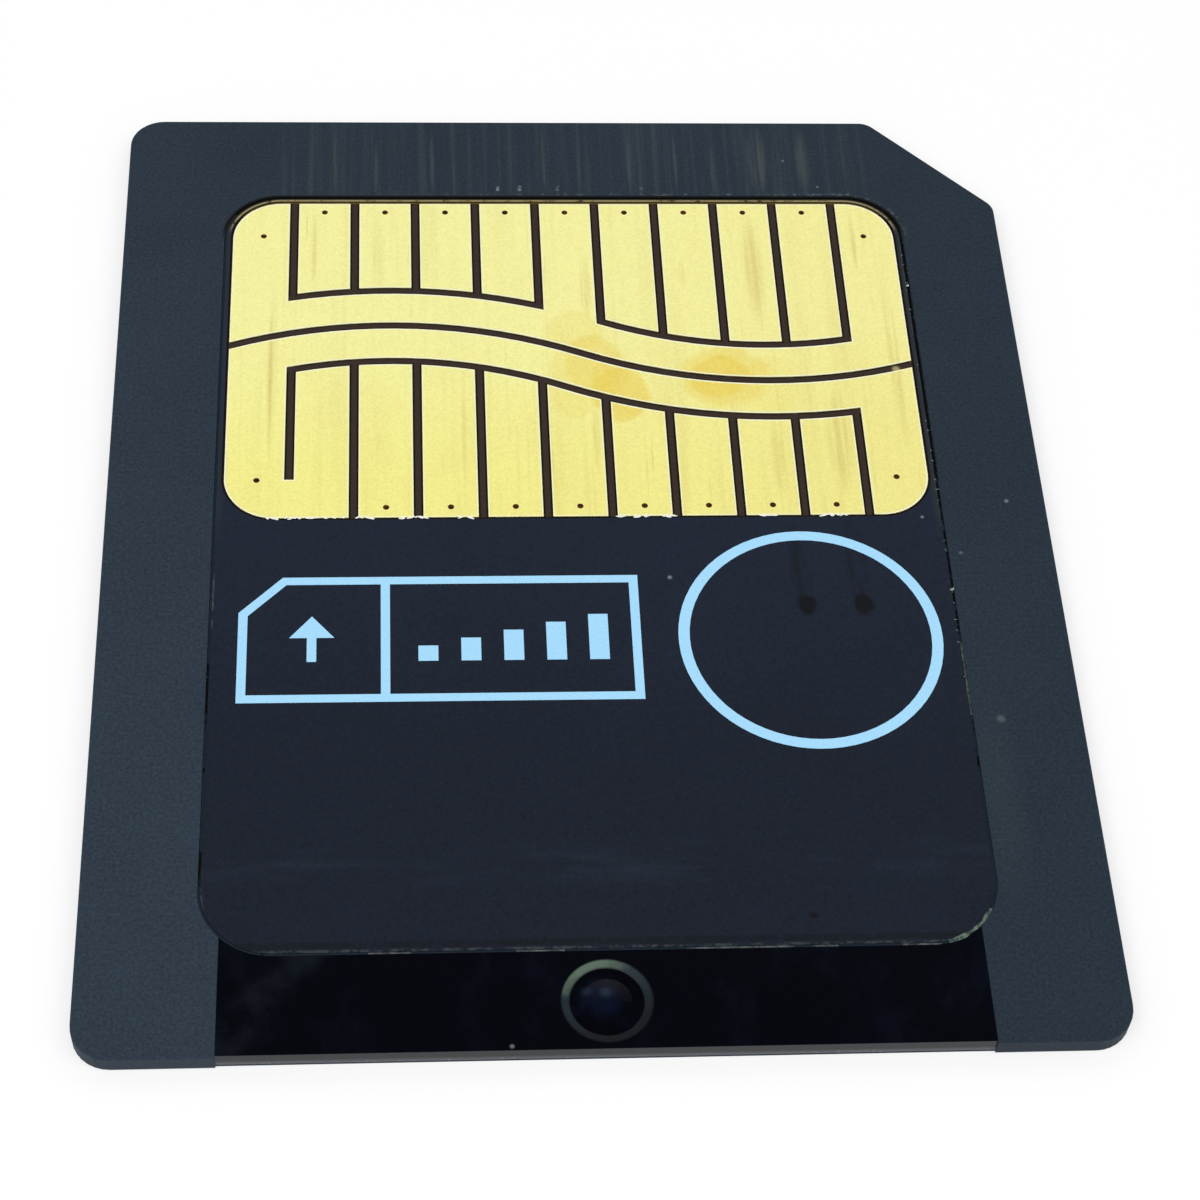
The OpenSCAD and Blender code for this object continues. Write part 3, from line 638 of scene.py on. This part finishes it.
def spotted_finish(name, value, second, scale, metallic=0.0, rough=0.4, specular=0.5):
    """A plain material whose tone and gloss wander between two colours."""
    b = Bench(name)
    spots = b.noise(scale, 3, 0.6)
    return b.finish(
        base_color=b.mix(b.rise(spots, 0.35, 0.65), tuple(value), tuple(second)),
        metallic=metallic, roughness=rough + spots * 0.12, specular_ior_level=specular,
    )


def seam_finish():
    """The film in the seam: level with the card in places, and painted dark in others as the shadow
    in the open seam.
    """
    b = Bench("seam_fill")
    right = b.rise(b.x, 0, 10)
    wander = b.noise(3.4, 2, 0.6, shift=2.0)
    gaps = (
        b.rise(b.y, GOLD_HIGH.y - 1.2, GOLD_HIGH.y), b.stretches(RIGHT_GAPS) * right,
        b.stretches(LEFT_GAPS) * (1 - right),
    )
    # Painted shadow: the fill is painted near black where the seam is open.
    gap_shadow = b.rise(wander + b.most_of(gaps) * 0.5, 0.68, 0.78)
    return b.finish(
        base_color=b.mix(gap_shadow, rgb(24, 35, 46), rgb(1, 1, 2)),
        roughness=0.55 + gap_shadow * 0.2, specular_ior_level=0.1,
    )


def dress(names, material):
    """Puts one finish on CAD nodes."""
    for name in names:
        for slot in NODES[name].material_slots:
            slot.material = material


def face_loops(node, height_mm):
    """Outlines of a node's faces that look up at a height, the outer one first, in metres."""
    mesh = bmesh.new()
    mesh.from_mesh(NODES[node].data)
    bmesh.ops.remove_doubles(mesh, verts=mesh.verts, dist=1e-7)
    mesh.verts.index_update()
    mesh.faces.index_update()
    top = [
        f for f in mesh.faces
        if f.normal.z > 0.9 and abs(f.calc_center_median().z - height_mm * MM) < 2e-6
    ]
    chosen = {f.index for f in top}
    follow = {}
    for face in top:
        for corner in face.loops:
            beside = [f for f in corner.edge.link_faces if f.index in chosen]
            if len(beside) == 1:
                follow[corner.vert.index] = corner.link_loop_next.vert.index
    places = [v.co.copy() for v in mesh.verts]
    mesh.free()
    loops = []
    while follow:
        start, at = follow.popitem()
        loop = [start]
        while at != start:
            loop.append(at)
            at = follow.pop(at)
        loops.append([places[i] for i in loop])
    return sorted(loops, key=lambda points: -outline_length(points))


def outline_length(points):
    return sum((a - b).length for a, b in zip(points, points[1:] + points[:1]))


def inset_loop(points, inset):
    """A closed outline moved to its left, which is inwards on an outer one."""
    points = [p for i, p in enumerate(points) if (p - points[i - 1]).length > 2e-6]
    moved = []
    for i, point in enumerate(points):
        before = (point - points[i - 1]).normalized()
        after = (points[(i + 1) % len(points)] - point).normalized()
        left = Vector((-before.y - after.y, before.x + after.x, 0))
        moved.append(point + left * inset / (1 + max(before.dot(after), -0.5)))
    return moved


def path_object(name, paths, closed):
    """An object whose edges are the given lines of points."""
    points, edges = [], []
    for path in paths:
        first = len(points)
        points += path
        edges += [(first + i, first + i + 1) for i in range(len(path) - 1)]
        if closed:
            edges.append((len(points) - 1, first))
    mesh = bpy.data.meshes.new(name)
    mesh.from_pydata(points, edges, [])
    made = bpy.data.objects.new(name, mesh)
    bpy.context.scene.collection.objects.link(made)
    return made


def subdivided(points, step):
    """The same line with points no farther apart than a step."""
    fine = [points[0]]
    for a, b in zip(points, points[1:]):
        parts = max(1, math.ceil((b - a).length / step))
        fine += [a.lerp(b, i / parts) for i in range(1, parts + 1)]
    return fine


class Tree:
    """A Geometry Nodes tree with named inputs, built from left to right."""

    def __init__(self, name, inputs):
        self.tree = bpy.data.node_groups.new(name, "GeometryNodeTree")
        self.sockets = {}
        for key, kind in [("Geometry", "NodeSocketGeometry"), *inputs]:
            made = self.tree.interface.new_socket(key, in_out="INPUT", socket_type=kind)
            self.sockets[key] = made.identifier
        self.tree.interface.new_socket(
            "Geometry", in_out="OUTPUT", socket_type="NodeSocketGeometry"
        )
        self.source = self.tree.nodes.new("NodeGroupInput").outputs

    def add(self, kind, settings=None, sockets=None, out=0):
        made = self.tree.nodes.new(kind)
        for key, value in (settings or {}).items():
            setattr(made, key, value)
        for key, value in (sockets or {}).items():
            if isinstance(value, bpy.types.NodeSocket):
                self.tree.links.new(value, made.inputs[key])
            else:
                made.inputs[key].default_value = value
        return made.outputs[out]

    def end(self, geometry):
        """Realizes what was instanced and gives it its material."""
        real = self.add("GeometryNodeRealizeInstances", {}, {0: geometry})
        dressed = self.add(
            "GeometryNodeSetMaterial", {}, {"Geometry": real, "Material": self.source["Material"]}
        )
        end = self.tree.nodes.new("NodeGroupOutput")
        self.tree.links.new(dressed, end.inputs[0])
        return self

    def grow(self, made, values):
        """Runs the tree on an object and leaves the result as its plain mesh."""
        modifier = made.modifiers.new(self.tree.name, "NODES")
        modifier.node_group = self.tree
        for key, value in values.items():
            modifier[self.sockets[key]] = value
        graph = bpy.context.evaluated_depsgraph_get()
        mesh = bpy.data.meshes.new_from_object(made.evaluated_get(graph))
        made.modifiers.remove(modifier)
        made.data = mesh
        return made


def bead_tree():
    """A low rounded bead along a path, whose width can wander."""
    inputs = [
        ("Width", "NodeSocketFloat"), ("Height", "NodeSocketFloat"),
        ("Wander", "NodeSocketFloat"), ("Seed", "NodeSocketInt"),
        ("Material", "NodeSocketMaterial"),
    ]
    t = Tree("Rounded bead", inputs)
    line = t.add("GeometryNodeMeshToCurve", {}, {0: t.source["Geometry"]})
    upright = t.add("GeometryNodeSetCurveNormal", {"mode": "Z_UP"}, {0: line})
    noise = t.add(
        "ShaderNodeTexNoise", {"noise_dimensions": "4D"},
        {"W": t.source["Seed"], "Scale": 2600.0, "Detail": 1.0},
    )
    swing = t.add("ShaderNodeMath", {"operation": "SUBTRACT"}, {0: noise, 1: 0.5})
    swing = t.add("ShaderNodeMath", {"operation": "MULTIPLY"}, {0: swing, 1: t.source["Wander"]})
    size = t.add("ShaderNodeMath", {"operation": "ADD", "use_clamp": False}, {0: swing, 1: 1.0})
    ring = t.add("GeometryNodeCurvePrimitiveCircle", {}, {"Resolution": 8, "Radius": 0.5})
    scale = t.add(
        "ShaderNodeCombineXYZ", {}, {0: t.source["Width"], 1: t.source["Height"], 2: 1.0}
    )
    ring = t.add("GeometryNodeTransform", {}, {"Geometry": ring, "Scale": scale})
    swept = t.add(
        "GeometryNodeCurveToMesh", {},
        {"Curve": upright, "Profile Curve": ring, "Scale": size, "Fill Caps": True},
    )
    return t.end(swept)


def flake_tree():
    """Small broken flakes scattered along a path."""
    inputs = [
        ("Spacing", "NodeSocketFloat"), ("Size", "NodeSocketFloat"), ("Spread", "NodeSocketFloat"),
        ("Turn", "NodeSocketFloat"), ("Kept", "NodeSocketFloat"), ("Seed", "NodeSocketInt"),
        ("Material", "NodeSocketMaterial"),
    ]
    t = Tree("Scattered flakes", inputs)

    def chance(kind, low, high, step):
        seed = t.add("ShaderNodeMath", {"operation": "ADD"}, {0: t.source["Seed"], 1: float(step)})
        made = t.tree.nodes.new("FunctionNodeRandomValue")
        made.data_type = kind
        t.tree.links.new(seed, made.inputs["Seed"])
        ends = [s for s in made.inputs if s.enabled and s.name in ("Min", "Max")]
        for socket, value in zip(ends, (low, high)):
            socket.default_value = value
        return next(s for s in made.outputs if s.enabled)

    def scaled(field, size):
        return t.add("ShaderNodeVectorMath", {"operation": "SCALE"}, {0: field, "Scale": size})

    line = t.add("GeometryNodeMeshToCurve", {}, {0: t.source["Geometry"]})
    points = t.add(
        "GeometryNodeCurveToPoints", {"mode": "LENGTH"}, {0: line, "Length": t.source["Spacing"]}
    )
    shift = scaled(chance("FLOAT_VECTOR", (-1, -1, 0), (1, 1, 0), 1), t.source["Spread"])
    points = t.add("GeometryNodeSetPosition", {}, {0: points, "Offset": shift})
    keep = t.add(
        "ShaderNodeMath", {"operation": "LESS_THAN"},
        {0: chance("FLOAT", 0.0, 1.0, 2), 1: t.source["Kept"]},
    )
    stone = t.add("GeometryNodeMeshIcoSphere", {}, {"Radius": 0.5, "Subdivisions": 2})
    dent = t.add("ShaderNodeTexNoise", {}, {"Scale": 2.2}, out=1)
    dent = t.add("ShaderNodeVectorMath", {"operation": "SUBTRACT"}, {0: dent, 1: (0.5, 0.5, 0.5)})
    stone = t.add("GeometryNodeSetPosition", {}, {0: stone, "Offset": dent})
    turn = scaled(chance("FLOAT_VECTOR", (0, 0, -1), (0, 0, 1), 3), t.source["Turn"])
    size = scaled(chance("FLOAT_VECTOR", (0.6, 0.35, 0.05), (1.8, 0.75, 0.09), 4), t.source["Size"])
    flakes = t.add(
        "GeometryNodeInstanceOnPoints", {},
        {"Points": points, "Selection": keep, "Instance": stone, "Rotation": turn, "Scale": size},
    )
    return t.end(flakes)


def settle(made):
    """Hands a finished piece to the frame."""
    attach(made, "root")


def seam_points(start, end, outset, height, count=24):
    """Points along the module's right side, from Y start to Y end, in metres."""
    half = MODULE_HIGH.x + outset
    r = MODULE_LOW_R + outset
    middle = Vector((half - r, MODULE_LOW.y - outset + r))
    points = []
    for i in range(count):
        y = start + (end - start) * i / (count - 1)
        down = min(max((middle.y - y) / r, 0), 1)
        x = middle.x + r * math.sqrt(1 - down * down)
        points.append(Vector((x, y, height)) * MM)
    return points


def low_seam(start, end, outset, height):
    """Two points along the module's lower side, from X start to X end, in metres."""
    y = MODULE_LOW.y - outset
    return [Vector((start, y, height)) * MM, Vector((end, y, height)) * MM]


class CardOperator:
    """What the card's operators share."""

    bl_options = {"REGISTER", "UNDO"}

    @property
    def groups(self):
        scene = bpy.context.scene
        return scene.card_colours, scene.card_wear


class CARD_OT_moulding(CardOperator, bpy.types.Operator):
    """Finishes the moulded card and its polished strip"""

    bl_idname = "card.moulding"
    bl_label = "Moulded card"

    def execute(self, context):
        dress(["base_card"], moulding_finish(*self.groups))
        return {"FINISHED"}


class CARD_OT_module(CardOperator, bpy.types.Operator):
    """Finishes the contact module's board, its solder resist and the film under it"""

    bl_idname = "card.module"
    bl_label = "Contact module"

    def execute(self, context):
        colours, _ = self.groups
        dress(["resist_film"], resist_finish(colours))
        dress(["module_board"], board_finish(colours))
        film = spotted_finish("bonding_film", rgb(96, 80, 52), rgb(70, 58, 38), 2, rough=0.5)
        dress(["bond_film"], film)
        return {"FINISHED"}


class CARD_OT_contacts(CardOperator, bpy.types.Operator):
    """Finishes the gold contacts and the filling of their plated holes"""

    bl_idname = "card.contacts"
    bl_label = "Contacts"

    def execute(self, context):
        colours, wear = self.groups
        dress(CONTACTS, gold_finish(colours, wear))
        plug = spotted_finish(
            "hole_filling", colours.plug, rgb(34, 10, 2), 9, rough=0.35, specular=0.1
        )
        dress(["via_plugs"], plug)
        return {"FINISHED"}


class CARD_OT_circuit(CardOperator, bpy.types.Operator):
    """Finishes the sealed circuit: copper, chips, films, wires and resin"""

    bl_idname = "card.circuit"
    bl_label = "Inner circuit"

    def execute(self, context):
        looks = {
            "copper": (rgb(204, 126, 84), rgb(178, 98, 60), 5, 1.0, 0.35),
            "silicon": (rgb(92, 96, 108), rgb(70, 78, 98), 1, 0.3, 0.2),
            "chip_film": (rgb(214, 200, 150), rgb(196, 178, 120), 3, 0.0, 0.5),
            "gold_wire": (rgb(244, 206, 110), rgb(232, 186, 84), 9, 1.0, 0.25),
            "resin": (rgb(30, 30, 33), rgb(22, 22, 24), 6, 0.0, 0.55),
        }
        finishes = {
            key: spotted_finish(key, first, second, scale, metallic, rough)
            for key, (first, second, scale, metallic, rough) in looks.items()
        }
        dress(["inner_copper"], finishes["copper"])
        dress(["memory_chip_front", "memory_chip_rear"], finishes["silicon"])
        dress(["chip_film_front", "chip_film_rear"], finishes["chip_film"])
        dress(["bond_wires_front", "bond_wires_rear"], finishes["gold_wire"])
        dress(["resin_cap"], finishes["resin"])
        return {"FINISHED"}


class CARD_OT_print(CardOperator, bpy.types.Operator):
    """Finishes the printed frame, arrow, bars and ring"""

    bl_idname = "card.print"
    bl_label = "Printed marks"

    def execute(self, context):
        colours, _ = self.groups
        names = ["printed_frame", "printed_arrow", "printed_bars", "printed_ring"]
        dress(names, ink_finish(colours))
        return {"FINISHED"}


class CARD_OT_rims(CardOperator, bpy.types.Operator):
    """Lays the thickened edge of the plating round each contact"""

    bl_idname = "card.rims"
    bl_label = "Plating edges"

    def execute(self, context):
        colours, wear = self.groups
        loops = []
        for node in CONTACTS:
            found = face_loops(node, FACE_Z)
            if not found:
                raise RuntimeError(f"{node} has no face at the module's height")
            loops.append(inset_loop(found[0], wear.rim_w / 2))
        piece = path_object("contact_rims", loops, closed=True)
        bead_tree().grow(piece, {
            "Width": wear.rim_w, "Height": 2 * wear.rim_h, "Wander": 0.5, "Seed": wear.seed,
            "Material": rim_finish(colours),
        })
        settle(piece)
        return {"FINISHED"}


class CARD_OT_glints(CardOperator, bpy.types.Operator):
    """Scatters small near-white flakes on the gold field's lower edge as painted glints"""

    bl_idname = "card.burrs"
    bl_label = "Glints on the gold"

    def execute(self, context):
        colours, wear = self.groups
        y, z = GOLD_LOW.y - 0.01, FACE_Z + 0.002
        lines = [[Vector((x, y, z)) * MM for x in pair] for pair in GLINT_ENDS]
        piece = path_object("gold_glints", lines, closed=False)
        # Painted glints: the flakes are near white to stand in for light glinting on the gold's
        # edge.
        metal = spotted_finish(
            "painted_glint", colours.glint, rgb(255, 252, 240), 6, metallic=0.2, rough=0.35
        )
        flake_tree().grow(piece, {
            "Spacing": 0.17 * MM, "Size": wear.glint, "Spread": 0.035 * MM, "Turn": 0.5,
            "Kept": 0.75, "Seed": wear.seed, "Material": metal,
        })
        settle(piece)
        return {"FINISHED"}


class CARD_OT_nicks(CardOperator, bpy.types.Operator):
    """Scatters nicks along the seam round the module"""

    bl_idname = "card.nicks"
    bl_label = "Nicks on the seam"

    def execute(self, context):
        _, wear = self.groups
        z = CARD_HIGH.z - 0.012
        top_y = MODULE_HIGH.y + 0.3
        worst = [seam_points(y, y - 0.1, 0.04, z) for y in (12.9, -2.95)]
        worst += [
            [Vector((x, top_y, z)) * MM, Vector((x + 0.1, top_y, z)) * MM] for x in (-2.9, -1.9)
        ]
        small = [seam_points(-7.6, -4.4, 0.0, z, 60), seam_points(-3.6, 15.6, 0.0, z, 60)]
        for name, lines, spacing, size, kept, pale in (
            ("seam_chips", worst, 0.2, 2.2, 1.0, rgb(196, 208, 206)),
            ("seam_nicks", small, 0.5, 0.8, 0.4, rgb(96, 106, 104)),
        ):
            piece = path_object(name, lines, closed=False)
            chalk = spotted_finish(name, pale, rgb(84, 98, 98), 4, rough=0.6)
            flake_tree().grow(piece, {
                "Spacing": spacing * MM, "Size": size * wear.nick, "Spread": 0.03 * MM,
                "Turn": math.pi, "Kept": kept, "Seed": wear.seed + 7, "Material": chalk,
            })
            settle(piece)
        return {"FINISHED"}


class CARD_OT_glue(CardOperator, bpy.types.Operator):
    """Fills the seam with bonding film and lays what was squeezed out of it"""

    bl_idname = "card.glue"
    bl_label = "Glue on the seam"

    def execute(self, context):
        colours, wear = self.groups
        bead = bead_tree()
        z = FACE_Z - 0.006
        corner = [seam_points(-17.15, -18.45, 0.05, z, 30)]
        broken = [low_seam(*ends, 0.06, z) for ends in LOW_GLUE_ENDS]
        side = [seam_points(-5.5, -8.8, 0.06, z, 40)]
        outline = face_loops("resist_film", FACE_Z)[0]
        seam = [p - Vector((0, 0, 0.035 * MM)) for p in inset_loop(outline, -0.05 * MM)]
        # The corner bead is glue, painted pale greenish as the highlight on the wall at that
        # corner.
        pale = spotted_finish("corner_glue_glint", colours.glue, rgb(46, 60, 62), 4, specular=0.2)
        grey = spotted_finish("low_glue", rgb(40, 46, 52), rgb(84, 90, 90), 3, specular=0.2)
        green = spotted_finish("side_glue", rgb(40, 50, 48), rgb(78, 90, 78), 4, specular=0.2)
        for name, lines, closed, width, height, wander, finish in (
            ("corner_glue_glint", corner, False, 0.16, 0.03, 2.4, pale),
            ("low_glue", broken, False, 0.08, 0.02, 2.2, grey),
            ("side_glue", side, False, 0.09, 0.02, 2.2, green),
            ("seam_fill", [seam], True, 0.12, 0.05, 0.3, seam_finish()),
        ):
            if not closed:
                lines = [subdivided(line, 0.15 * MM) for line in lines]
            piece = path_object(name, lines, closed)
            bead.grow(piece, {
                "Width": width * MM, "Height": height * MM, "Wander": wander,
                "Seed": wear.seed + 2, "Material": finish,
            })
            settle(piece)
        return {"FINISHED"}


class CARD_OT_stage(CardOperator, bpy.types.Operator):
    """Sets the floor, the surroundings, the lamps and the camera"""

    bl_idname = "card.stage"
    bl_label = "Stage"

    def execute(self, context):
        scene = context.scene
        look = scene.card_stage
        scene.view_settings.view_transform = "Standard"

        mesh = bpy.data.meshes.new("floor")
        corners = [
            (x * FLOOR_HALF, y * FLOOR_HALF, -FLOOR_DROP)
            for x, y in ((-1, -1), (1, -1), (1, 1), (-1, 1))
        ]
        mesh.from_pydata(corners, [], [(0, 1, 2, 3)])
        floor = bpy.data.objects.new("floor", mesh)
        scene.collection.objects.link(floor)
        floor.data.materials.append(self.floor_finish(look))

        scene.world = self.studio(look)
        for name, (place, size), power in (
            ("side", SIDE_LAMP, look.key), ("top", TOP_LAMP, look.top),
        ):
            lamp = bpy.data.lights.new(name, "AREA")
            lamp.shape = "RECTANGLE"
            lamp.size, lamp.size_y = size
            lamp.energy = power
            made = bpy.data.objects.new(name, lamp)
            made.location = place
            made.rotation_euler = (-Vector(place)).to_track_quat("-Z", "Y").to_euler()
            scene.collection.objects.link(made)

        lens = bpy.data.cameras.new("camera")
        lens.lens = look.lens
        lens.clip_start = 0.005
        lens.clip_end = 60
        camera = bpy.data.objects.new("camera", lens)
        camera.location = look.camera_place
        camera.rotation_euler = look.camera_turn
        scene.collection.objects.link(camera)
        scene.camera = camera
        return {"FINISHED"}

    def studio(self, look):
        """Surroundings that light the card by height and look white to the camera."""
        world = bpy.data.worlds.new("studio")
        world.use_nodes = True
        nodes, links = world.node_tree.nodes, world.node_tree.links
        ground = nodes["Background"]
        place = nodes.new("ShaderNodeTexCoord")
        split = nodes.new("ShaderNodeSeparateXYZ")
        ramp = nodes.new("ShaderNodeValToRGB")
        links.new(place.outputs["Generated"], split.inputs[0])
        links.new(split.outputs["Z"], ramp.inputs[0])
        links.new(ramp.outputs[0], ground.inputs["Color"])
        stops = ramp.color_ramp.elements
        stops[0].position, stops[0].color = SURROUNDINGS[0]
        stops[1].position, stops[1].color = SURROUNDINGS[-1]
        for position, value in SURROUNDINGS[1:-1]:
            stops.new(position).color = value
        ground.inputs["Strength"].default_value = look.world

        backdrop = nodes.new("ShaderNodeBackground")
        backdrop.inputs["Color"].default_value = (1, 1, 1, 1)
        backdrop.inputs["Strength"].default_value = 1.0
        path = nodes.new("ShaderNodeLightPath")
        both = nodes.new("ShaderNodeMixShader")
        links.new(path.outputs["Is Camera Ray"], both.inputs[0])
        links.new(ground.outputs[0], both.inputs[1])
        links.new(backdrop.outputs[0], both.inputs[2])
        links.new(both.outputs[0], nodes["World Output"].inputs["Surface"])
        return world

    def floor_finish(self, look):
        """A pale floor that shows white and keeps the card's shadow."""
        b = Bench("pale_floor")
        plain = b.node("ShaderNodeBsdfDiffuse", {}, {"Color": (*look.floor, 1)})
        white = b.node("ShaderNodeEmission", {}, {"Color": (1, 1, 1, 1), "Strength": 1.0})
        path = b.node("ShaderNodeLightPath", out="Is Camera Ray")
        gloss = b.node("ShaderNodeLightPath", out="Is Glossy Ray")
        clear = b.node("ShaderNodeLightPath", out="Is Transmission Ray")
        seen = path.most(gloss).most(clear)
        both = b.node("ShaderNodeMixShader", {}, {0: seen * 0.6, 1: plain, 2: white})
        b.node("ShaderNodeOutputMaterial", {}, {"Surface": both})
        return b.material


STEPS = (
    CARD_OT_moulding, CARD_OT_module, CARD_OT_contacts, CARD_OT_circuit, CARD_OT_print,
    CARD_OT_rims, CARD_OT_glints, CARD_OT_nicks, CARD_OT_glue, CARD_OT_stage,
)


class CARD_PT_panel(bpy.types.Panel):
    """Lists the card's pieces and its settings in the sidebar"""

    bl_idname = "CARD_PT_panel"
    bl_label = "Flash memory card"
    bl_space_type = "VIEW_3D"
    bl_region_type = "UI"
    bl_category = "Card"

    def draw(self, context):
        column = self.layout.column(align=True)
        for step in STEPS:
            column.operator(step.bl_idname)
        for key in GROUPS:
            group = getattr(context.scene, key)
            box = self.layout.box()
            for name in group.bl_rna.properties.keys():
                if name not in ("rna_type", "name"):
                    box.prop(group, name)


GROUPS = {"card_colours": CardColours, "card_wear": CardWear, "card_stage": CardStage}


def register():
    for kind in (*GROUPS.values(), *STEPS, CARD_PT_panel):
        bpy.utils.register_class(kind)
    for key, kind in GROUPS.items():
        setattr(bpy.types.Scene, key, bpy.props.PointerProperty(type=kind))


def unregister():
    for key in GROUPS:
        delattr(bpy.types.Scene, key)
    for kind in (CARD_PT_panel, *reversed(STEPS), *reversed(GROUPS.values())):
        bpy.utils.unregister_class(kind)


def main():
    register()
    for step in STEPS:
        group, name = step.bl_idname.split(".")
        getattr(getattr(bpy.ops, group), name)()


if __name__ == "__main__":
    main()
